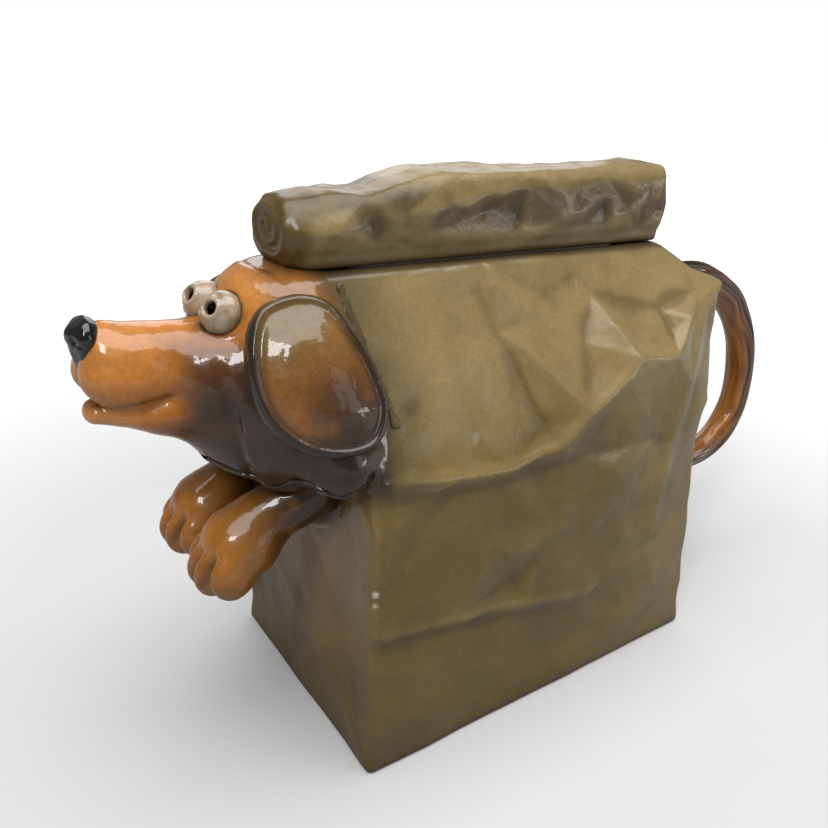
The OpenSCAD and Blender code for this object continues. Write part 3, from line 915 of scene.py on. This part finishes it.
def coat_colour(q):
    """The dog's own colours, with painted shade inside the spout's slot, wherever they are asked for."""
    x, y, z = q
    a = np.abs(y)
    c = np.broadcast_to(ORANGE, (len(x), 3))
    c = mix(c, CREAM, 0.35 * smooth01(-x, 108, 122) * smooth01(z, 114, 124) * (1 - smooth01(a, 9, 13)))
    c = mix(c, AMBER, 0.5 * smooth01(noise(q, 8, 211), 0.0, 0.8))
    c = mix(c, AMBER, 0.9 * smooth01(x, -114, -105) * (1 - smooth01(z, 127, 133)))
    c = mix(c, CHESTNUT, 0.95 * smooth01(x, -112, -104) * (1 - smooth01(z, 124, 132)))
    c = mix(c, SEAL, 0.9 * smooth01(x, -111, -100) * (1 - smooth01(z, 112, 124)))
    c = mix(c, CHESTNUT, 0.85 * smooth01(x, -121, -110) * (1 - smooth01(z, 106, 113)))
    c = mix(c, SMOKE, 0.95 * smooth01(x, -110, -98) * (1 - smooth01(z, 101, 114)))
    c = mix(c, SEAL, 0.85 * smooth01(a, 15, 20) * smooth01(x, -100, -92) * (1 - smooth01(z, 134, 141)))
    mouth = np.exp(-((z - 115.2 - 0.14 * (x + 124)) / 1.0) ** 2) * (1 - smooth01(x, -112, -109))
    c = mix(c, CHESTNUT, 0.7 * mouth * smooth01(-x, 108, 112))
    c = mix(c, LIP, 0.85 * (1 - smooth01(z, 110.5, 115.5)) * (1 - smooth01(x, -124, -117)))
    ring = np.full_like(x, 1e3)
    for side in (-1, 1):
        e = eye_centre(side)
        ring = np.minimum(ring, np.sqrt((x - e[0]) ** 2 + (y - e[1]) ** 2 + (z - e[2]) ** 2) - EYE_R)
    c = mix(c, SEAL, 0.75 * (1 - smooth01(ring, 0.1, 1.6)))
    c = mix(c, CHESTNUT, 0.5 * (1 - smooth01(ring, 0.5, 4.0)) * (1 - smooth01(z, 134, 139)))
    crown = smooth01(x, -98, -90) * smooth01(z, 134, 141)
    c = mix(c, CROWN_TAN, 0.9 * crown)
    c = mix(c, CHESTNUT, 0.6 * smooth01(x, -91, -84) * smooth01(z, 132, 142))
    # painted shade: the inside of the spout's slot between the lips is painted near black
    deep = smooth01(x, -124, -112)
    return mix(c, INK, deep * (1 - smooth01(channel(q) + 0.2, -0.2, 0.8)))


def skin_colour(q):
    """Bag glaze with painted shadow round the dog and its ears, turning into the dog's coat where the dog
    comes out.
    """
    x, y, z = q
    c = bag_colour(q)
    dog = dog_shape(q)
    ear_gap = np.minimum(ear_shape(q, -1), ear_shape(q, 1))
    near = np.minimum(dog, ear_gap)
    low = 1 - smooth01(z, 104, 122)
    # painted shadow: the bag is darkened within about 19 mm of the dog and its ears, more so lower down, and
    # a narrow painted shade runs along where they meet it
    dog_shadow = (1 - smooth01(near, 0, 19)) * smooth01(z, 84, 98)
    dog_shadow = dog_shadow * (0.85 + 0.3 * noise(q, 7, 205))
    c = mix(c, SMOKE, dog_shadow * (0.55 + 0.3 * low))
    c = mix(c, UMBER, 0.6 * (1 - smooth01(near, 0, 3.5)) * smooth01(z, 88, 96))
    warm = smooth01(-x, 66, 70) * np.exp(-((z - 60) / 26) ** 2) * np.exp(-(y / 30) ** 2)
    c = mix(c, AMBER, 0.5 * warm)
    chest = ellipsoid(q, CHEST_AT, CHEST_R)
    c = mix(c, CHESTNUT, 0.8 * (1 - smooth01(chest, 0.5, 7.0)))
    return mix(c, coat_colour(q), (1 - smooth01(dog, 0.4, 4.2)) * (1 - 0.75 * smooth01(x, -80, -67)))


def chest_colour(q):
    x, _, z = q
    c = np.broadcast_to(CHESTNUT, (len(x), 3))
    c = mix(c, SEAL, smooth01(z, 78, 92))
    c = mix(c, AMBER, 0.5 * (1 - smooth01(z, 62, 76)))
    chest = ellipsoid(q, CHEST_AT, CHEST_R)
    return mix(c, skin_colour(q), smooth01(chest, 2.0, 4.4))


def ear_colour(side):
    def colour(q):
        a, b, _ = ear_frame(q, side)
        gap = polygon_gap(a, b, EAR_OUTLINE)
        c = np.broadcast_to(EAR_GOLD, (len(a), 3))
        c = mix(c, KHAKI, 0.8 * smooth01(b, -2, 14))
        c = mix(c, CHESTNUT, 0.85 * (1 - smooth01(b, -8, 8)) * smooth01(a, -15, 2))
        c = mix(c, SEAL, 0.85 * (1 - smooth01(b, -17, 2)) * smooth01(a, -8, 8))
        c = mix(c, AMBER, 0.45 * smooth01(noise(q, 6, 221), 0.1, 0.9))
        c = mix(c, SEAL, 0.7 * smooth01(gap, -4.5, -2.2) * (1 - 0.6 * smooth01(b, 4, 16)))
        rim = smooth01(gap, -1.9, -1.3)
        return mix(c, SMOKE, 0.95 * rim * (1 - 0.65 * smooth01(b, 12, 19)))
    return colour


def leg_colour(side):
    def colour(q):
        x, _, z = q
        c = np.broadcast_to(PAW_TAN, (len(x), 3))
        c = mix(c, ORANGE, 0.7 * smooth01(-x, 96, 106) * smooth01(z, 60, 74))
        c = mix(c, CHESTNUT, 0.9 * smooth01(x, -96, -87))
        c = mix(c, SEAL, 0.8 * smooth01(x, -91, -81))
        groove = np.full_like(x, 9.0)
        for k in (-1.0, 0.0, 1.0):
            top = (-103 + abs(k), side * PAW_Y + k * 4.6, 75)
            line = limb(q, top, (-111, side * PAW_Y + k * 5.2, 62), 0.5, 0.5)
            groove = np.minimum(groove, line)
        c = mix(c, CHESTNUT, 0.85 * (1 - smooth01(groove, -0.2, 1.6)))
        c = mix(c, SEAL, 0.5 * (1 - smooth01(z, 56, 62)))
        return mix(c, AMBER, 0.5 * smooth01(noise(q, 4, 231 + side), 0.1, 0.8))
    return colour


def lid_colour(q):
    x, y, z = q
    c = np.broadcast_to(KHAKI, (len(x), 3))
    c = mix(c, KHAKI_DARK, 0.5 + 0.4 * noise(q, 18, 241))
    # painted light: the lid's top, from 162 to 167 mm up, is lighter as if lit from above
    c = mix(c, KHAKI_LIGHT, 0.6 * smooth01(z, 162, 167))
    relief = LID_SIDE.look(LID_SIDE.relief, x, z)
    relief = np.where(y > 0, LID_BACK.look(LID_BACK.relief, x, z), relief)
    relief = np.where(z > 166, LID_TOP.look(LID_TOP.relief, x, y), relief) * smooth01(x, -80, -68)
    # painted shade: the lid's lower sides are darker, away from its head end
    c = mix(c, UMBER, 0.3 * (1 - smooth01(z, 157, 167)) * smooth01(x, -80, -60))
    # painted highlight on the roll's raised crinkles and painted shade in its valleys
    c = mix(c, KHAKI_LIGHT, 0.6 * smooth01(relief, 0.05, 0.5))
    c = mix(c, UMBER, 0.7 * smooth01(-relief, 0.05, 0.5))
    c = mix(c, UMBER, 0.25 * (1 - smooth01(x, -81, -72)))
    # painted shade along the lid's lower edge, where it sits on the bag
    c = mix(c, UMBER, 0.75 * (1 - smooth01(z, 144, 147.2)))
    c = mix(c, UMBER, 0.6 * smooth01(x, 58.6, 60.4))
    return mix(c, INSIDE_LID, smooth01(-lid_outside(q), 1.0, 2.0))


def eye_colour(side):
    def colour(q):
        e = eye_centre(side)
        look = eye_look(side)
        v = [q[i] - e[i] for i in range(3)]
        size = np.sqrt(v[0] ** 2 + v[1] ** 2 + v[2] ** 2)
        face = (v[0] * look.x + v[1] * look.y + v[2] * look.z) / np.maximum(size, 0.1)
        c = mix(np.broadcast_to(EYE_STONE, (len(size), 3)), EYE_SHADE, 1 - smooth01(face, -0.3, 0.6))
        c = mix(c, EYE_SHADE, 0.6 * smooth01(noise(q, 2.2, 251), 0.1, 0.9))
        return mix(c, INK, 1 - smooth01(size, EYE_R - 1.6, EYE_R - 0.7))
    return colour


def nose_colour(q):
    c = np.broadcast_to(INK, (len(q[0]), 3))
    return mix(c, NOSE_SHINE, 0.8 * smooth01(noise(q, 3.0, 261), 0.2, 0.9))


def torn_colour(q):
    c = mix(np.broadcast_to(SMOKE, (len(q[0]), 3)), UMBER, 0.5 + 0.6 * noise(q, 3.0, 271))
    return mix(c, skin_colour(q), smooth01(q[2], 98, 112) * 0.6)


def tail_colour(points, lock, outer, along):
    q = [points[:, i].astype(np.float32) for i in range(3)]
    c = mix(np.broadcast_to(AMBER, (len(lock), 3)), ORANGE, (1 - outer) * 0.5 + 0.3 * noise(q, 5, 281))
    c = mix(c, CHESTNUT, 0.9 * smooth01(outer, 0.12, 0.5))
    c = mix(c, SEAL, 0.95 * smooth01(1 - lock, 0.2, 0.8) * (0.4 + 0.6 * smooth01(outer, 0.1, 0.45)))
    return mix(c, UMBER, 0.85 * (1 - smooth01(along, 0.03, 0.22)) * smooth01(outer, 0.1, 0.6))


# ---------------------------------------------------------------- glaze materials


def node(tree, kind, **values):
    n = tree.nodes.new(kind)
    for key, value in values.items():
        if key in n.inputs:
            n.inputs[key].default_value = value
        else:
            setattr(n, key, value)
    return n


def noise_node(tree, scale, detail=4.0, rough=0.55):
    place = tree.nodes.get("Place") or node(tree, "ShaderNodeTexCoord", name="Place")
    n = node(tree, "ShaderNodeTexNoise", Scale=scale, Detail=detail, Roughness=rough)
    tree.links.new(place.outputs["Object"], n.inputs["Vector"])
    return n


def ramp(tree, source, lo, hi, start=0.0, end=1.0):
    n = node(tree, "ShaderNodeMapRange")
    n.inputs["From Min"].default_value = lo
    n.inputs["From Max"].default_value = hi
    n.inputs["To Min"].default_value = start
    n.inputs["To Max"].default_value = end
    tree.links.new(source, n.inputs["Value"])
    return n.outputs["Result"]


def glaze(name, gloss, dull, coat, coat_rough, mottle, peel, grain, speck=0.0):
    """Sprayed colour under a fired glaze: mottling, pinholes, orange peel and patches of gloss.

    gloss and dull are the roughness of its two kinds of patch, coat its clear top layer, mottle and
    grain its broad and fine variation, peel the height of its ripples and speck its pale dots.
    """
    mat = bpy.data.materials.new(name)
    mat.use_nodes = True
    tree = mat.node_tree
    shader = tree.nodes["Principled BSDF"]
    link = tree.links.new
    spray = node(tree, "ShaderNodeAttribute", attribute_name="tint")
    broad = noise_node(tree, 60.0, 5.0)
    fine = noise_node(tree, 900.0, 3.0, 0.7)
    shade = ramp(tree, broad.outputs["Fac"], 0.3, 0.7, 1 - mottle, 1 + mottle)
    grainy = ramp(tree, fine.outputs["Fac"], 0.3, 0.7, 1 - grain, 1 + grain)
    both = node(tree, "ShaderNodeMath", operation="MULTIPLY")
    link(shade, both.inputs[0])
    link(grainy, both.inputs[1])
    tone = node(tree, "ShaderNodeVectorMath", operation="SCALE")
    link(spray.outputs["Color"], tone.inputs[0])
    link(both.outputs[0], tone.inputs["Scale"])
    colour = tone.outputs[0]
    if speck:
        dots = noise_node(tree, 1500.0, 2.0, 0.8)
        pale = node(tree, "ShaderNodeMix", data_type="RGBA")
        link(ramp(tree, dots.outputs["Fac"], 0.62, 0.72, 0.0, speck), pale.inputs["Factor"])
        link(colour, pale.inputs["A"])
        pale.inputs["B"].default_value = (0.42, 0.36, 0.26, 1)
        colour = pale.outputs["Result"]
    link(colour, shader.inputs["Base Color"])
    patches = noise_node(tree, 34.0, 3.0)
    link(ramp(tree, patches.outputs["Fac"], 0.35, 0.65, gloss, dull), shader.inputs["Roughness"])
    shader.inputs["Coat Weight"].default_value = coat
    shader.inputs["Coat Roughness"].default_value = coat_rough
    shader.inputs["IOR"].default_value = 1.5
    shader.inputs["Specular IOR Level"].default_value = 0.3
    swell = noise_node(tree, 190.0, 3.0)
    lumps = node(tree, "ShaderNodeBump", Strength=peel, Distance=0.0011)
    link(swell.outputs["Fac"], lumps.inputs["Height"])
    skin = node(tree, "ShaderNodeBump", Strength=peel * 0.5, Distance=0.00025)
    link(fine.outputs["Fac"], skin.inputs["Height"])
    link(lumps.outputs["Normal"], skin.inputs["Normal"])
    link(skin.outputs["Normal"], shader.inputs["Normal"])
    link(lumps.outputs["Normal"], shader.inputs["Coat Normal"])
    return mat


def dress(obj, mat):
    obj.data.materials.clear()
    obj.data.materials.append(mat)
    return obj


def bisque():
    """Unglazed cast clay of the collar."""
    mat = bpy.data.materials.new("bisque_clay")
    mat.use_nodes = True
    tree = mat.node_tree
    shader = tree.nodes["Principled BSDF"]
    link = tree.links.new
    grit = noise_node(tree, 700.0, 5.0, 0.7)
    stain = noise_node(tree, 70.0, 4.0)
    tone = node(tree, "ShaderNodeValToRGB")
    tone.color_ramp.elements[0].color = (0.42, 0.34, 0.24, 1)
    tone.color_ramp.elements[1].color = (0.62, 0.54, 0.42, 1)
    link(stain.outputs["Fac"], tone.inputs["Fac"])
    link(tone.outputs["Color"], shader.inputs["Base Color"])
    link(ramp(tree, grit.outputs["Fac"], 0.3, 0.7, 0.6, 0.85), shader.inputs["Roughness"])
    bump = node(tree, "ShaderNodeBump", Strength=0.3, Distance=0.0003)
    link(grit.outputs["Fac"], bump.inputs["Height"])
    link(bump.outputs["Normal"], shader.inputs["Normal"])
    return mat


# ---------------------------------------------------------------- the pieces


def build_object():
    bag_glaze = glaze("bag_satin_glaze", gloss=0.32, dull=0.46, coat=0.4, coat_rough=0.17, mottle=0.12,
                      speck=0.14, peel=0.2, grain=0.12)
    lid_glaze = glaze("lid_satin_glaze", gloss=0.34, dull=0.5, coat=0.35, coat_rough=0.2, mottle=0.18,
                      speck=0.1, peel=0.26, grain=0.14)
    coat_glaze = glaze("coat_gloss_glaze", gloss=0.24, dull=0.38, coat=0.75, coat_rough=0.04, mottle=0.2,
                       peel=0.16, grain=0.14)
    ear_glaze = glaze("ear_gloss_glaze", gloss=0.24, dull=0.38, coat=0.75, coat_rough=0.04, mottle=0.25,
                      peel=0.2, grain=0.2)
    tail_glaze = glaze("tail_gloss_glaze", gloss=0.25, dull=0.42, coat=0.7, coat_rough=0.08, mottle=0.2,
                       peel=0.15, grain=0.15)
    black_glaze = glaze("nose_black_glaze", gloss=0.12, dull=0.22, coat=1.0, coat_rough=0.02, mottle=0.2,
                        peel=0.2, grain=0.1)
    eye_glaze = glaze("eye_stone_glaze", gloss=0.2, dull=0.36, coat=0.9, coat_rough=0.04, mottle=0.15,
                      peel=0.22, grain=0.14)

    bag = sculpt("paper_bag", bag_field, (-86, -47, -1.5), (86, 47, 146), 0.8, skin_colour,
                 slot="bag_glaze", replaces=["bag_body"])
    dress(bag, bag_glaze)
    lid = sculpt("lid", lid_field, (-86.5, -15.5, 142.5), (63, 15.5, 172.5), 0.55, lid_colour,
                 body="lid", slot="lid_glaze", replaces=["lid_roll"])
    dress(lid, lid_glaze)
    dog = sculpt("dog_head", dog_field, (-132.5, -46, 91), (-54, 46, 149), 0.55, skin_colour,
                 slot="coat_glaze", replaces=["head_spout", "lower_jaw"])
    dress(dog, coat_glaze)
    chest = sculpt("dog_chest", chest_field, (-88, -27, 62), (-66, 27, 103), 0.6, chest_colour,
                   slot="coat_glaze", replaces=["neck_chest"])
    dress(chest, coat_glaze)
    for side, word in ((-1, "left"), (1, "right")):
        low_y, high_y = sorted((side * 17, side * 46))
        flap = sculpt("ear_flap_" + word, ear(side), (-104, low_y, 100), (-62, high_y, 148), 0.5,
                      ear_colour(side), slot="ear_glaze", replaces=["ear_" + word])
        dress(flap, ear_glaze)
        low_y, high_y = sorted((side * -1, side * 26))
        leg = sculpt("paw_" + word, foreleg(side), (-113, low_y, 55), (-68, high_y, 97), 0.5,
                     leg_colour(side), slot="coat_glaze", replaces=["foreleg_" + word])
        dress(leg, coat_glaze)
        c = eye_centre(side)
        reach = EYE_R + 0.8
        eye = sculpt("eyeball_" + word, eye_field(side), [v - reach for v in c], [v + reach for v in c],
                     0.22, eye_colour(side), slot="eye_glaze", replaces=["eye_" + word])
        dress(eye, eye_glaze)
        low_y, high_y = sorted((side * 12, side * 43))
        rip = sculpt("rip_" + word, torn_line(torn_side(side), thick=1.3, seed=300 + side),
                     (-74, low_y, 104), (-58, high_y, 144), 0.45, torn_colour,
                     slot="bag_glaze", replaces=["torn_edge_" + word])
        dress(rip, bag_glaze)
    rip = sculpt("rip_throat", torn_throat, (-102, -45, 90), (-64, 45, 100), 0.45, torn_colour,
                 slot="bag_glaze", replaces=["torn_edge_throat"])
    dress(rip, coat_glaze)
    nose = sculpt("nose_pad", nose_field, NOSE_LOW - (1, 1, 4), NOSE_HIGH + 1, 0.25, nose_colour,
                  slot="black_glaze", replaces=["nose"])
    dress(nose, black_glaze)
    dress(tail_piece(), tail_glaze)
    dress(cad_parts["lid_collar"], bisque())


# ---------------------------------------------------------------- studio


FLOOR_R = 6.0


def floor():
    """Pale floor, darker for every ray but the camera's own, so that the glaze doesn't turn milky."""
    mesh = bpy.data.meshes.new("studio_floor")
    turns = [math.radians(a) for a in range(0, 360, 5)]
    ring = [(FLOOR_R * math.cos(a), FLOOR_R * math.sin(a), 0) for a in turns]
    mesh.from_pydata(ring, [], [list(range(len(ring)))])
    obj = bpy.data.objects.new("studio_floor", mesh)
    bpy.context.collection.objects.link(obj)
    mat = bpy.data.materials.new("pale_paper")
    mat.use_nodes = True
    tree = mat.node_tree
    shader = tree.nodes["Principled BSDF"]
    fibre = noise_node(tree, 8.0, 3.0)
    link = tree.links.new
    tone = node(tree, "ShaderNodeMix", data_type="RGBA")
    tone.inputs["A"].default_value = (0.56, 0.56, 0.56, 1)
    tone.inputs["B"].default_value = (0.6, 0.6, 0.6, 1)
    link(fibre.outputs["Fac"], tone.inputs["Factor"])
    seen = node(tree, "ShaderNodeLightPath")
    eased = node(tree, "ShaderNodeMix", data_type="RGBA")
    eased.inputs["A"].default_value = (0.3, 0.3, 0.3, 1)
    link(seen.outputs["Is Camera Ray"], eased.inputs["Factor"])
    link(tone.outputs["Result"], eased.inputs["B"])
    link(eased.outputs["Result"], shader.inputs["Base Color"])
    shader.inputs["Roughness"].default_value = 0.85
    place = tree.nodes["Place"]
    away = node(tree, "ShaderNodeVectorMath", operation="LENGTH")
    link(place.outputs["Object"], away.inputs[0])
    shader.inputs["Emission Color"].default_value = (1, 1, 1, 1)
    glow = node(tree, "ShaderNodeMath", operation="MULTIPLY")
    link(ramp(tree, away.outputs["Value"], 0.18, 0.7, 0.08, 1.05), glow.inputs[0])
    link(ramp(tree, seen.outputs["Is Camera Ray"], 0, 1, 0.3, 1.0), glow.inputs[1])
    link(glow.outputs[0], shader.inputs["Emission Strength"])
    dress(obj, mat)


def softbox(name, place, aim, size, power, tint=(1, 1, 1)):
    data = bpy.data.lights.new(name, "AREA")
    data.shape = "RECTANGLE"
    data.size, data.size_y = size
    data.energy = power
    data.color = tint
    obj = bpy.data.objects.new(name, data)
    bpy.context.collection.objects.link(obj)
    obj.location = place
    obj.rotation_euler = (Vector(aim) - Vector(place)).to_track_quat("-Z", "Y").to_euler()


def studio():
    """Soft lights in air that is white for the camera and dim for every other ray."""
    world = bpy.data.worlds.new("studio_air")
    bpy.context.scene.world = world
    world.use_nodes = True
    tree = world.node_tree
    air = tree.nodes["Background"]
    seen = node(tree, "ShaderNodeLightPath")
    strength = ramp(tree, seen.outputs["Is Camera Ray"], 0, 1, 0.2, 1.0)
    tree.links.new(strength, air.inputs["Strength"])
    air.inputs["Color"].default_value = (1.0, 1.0, 1.0, 1)
    softbox("key_window", (-0.62, -0.42, 0.78), (-0.06, 0, 0.1), (0.24, 0.3), 3.4)
    softbox("top_soft", (0.0, -0.12, 1.0), (0, 0, 0.08), (1.2, 0.8), 11.0)
    softbox("fill_right", (0.6, -0.95, 0.4), (0, 0, 0.08), (0.6, 0.6), 1.0)
    softbox("low_strip", (0.82, -0.7, 0.17), (0.02, 0, 0.08), (0.5, 0.1), 0.8)
    softbox("back_fill", (0.55, 1.0, 0.7), (0, 0, 0.08), (0.9, 0.7), 3.0)
    bpy.context.scene.view_settings.view_transform = "Standard"


VIEW_FROM = (-0.1626, -0.1844, 0.1871)
VIEW_TURN = (35.44, -22.71, 3.0)  # heading from +Y towards +X, pitch and roll, in degrees
VIEW_LENS = 33.09


def camera():
    heading, pitch, roll = (math.radians(v) for v in VIEW_TURN)
    flat = math.cos(pitch)
    ahead = Vector((math.sin(heading) * flat, math.cos(heading) * flat, math.sin(pitch)))
    level = Vector((math.cos(heading), -math.sin(heading), 0))
    rise = level.cross(ahead)
    right = level * math.cos(roll) + rise * math.sin(roll)
    up = rise * math.cos(roll) - level * math.sin(roll)
    turn = Matrix((right, up, -ahead)).transposed().to_4x4()
    data = bpy.data.cameras.new("view_camera")
    data.lens = VIEW_LENS
    data.sensor_width = 36.0
    data.clip_start = 0.01
    obj = bpy.data.objects.new("view_camera", data)
    bpy.context.collection.objects.link(obj)
    obj.matrix_world = Matrix.Translation(VIEW_FROM) @ turn
    bpy.context.scene.camera = obj


camera()
build_object()
floor()
studio()
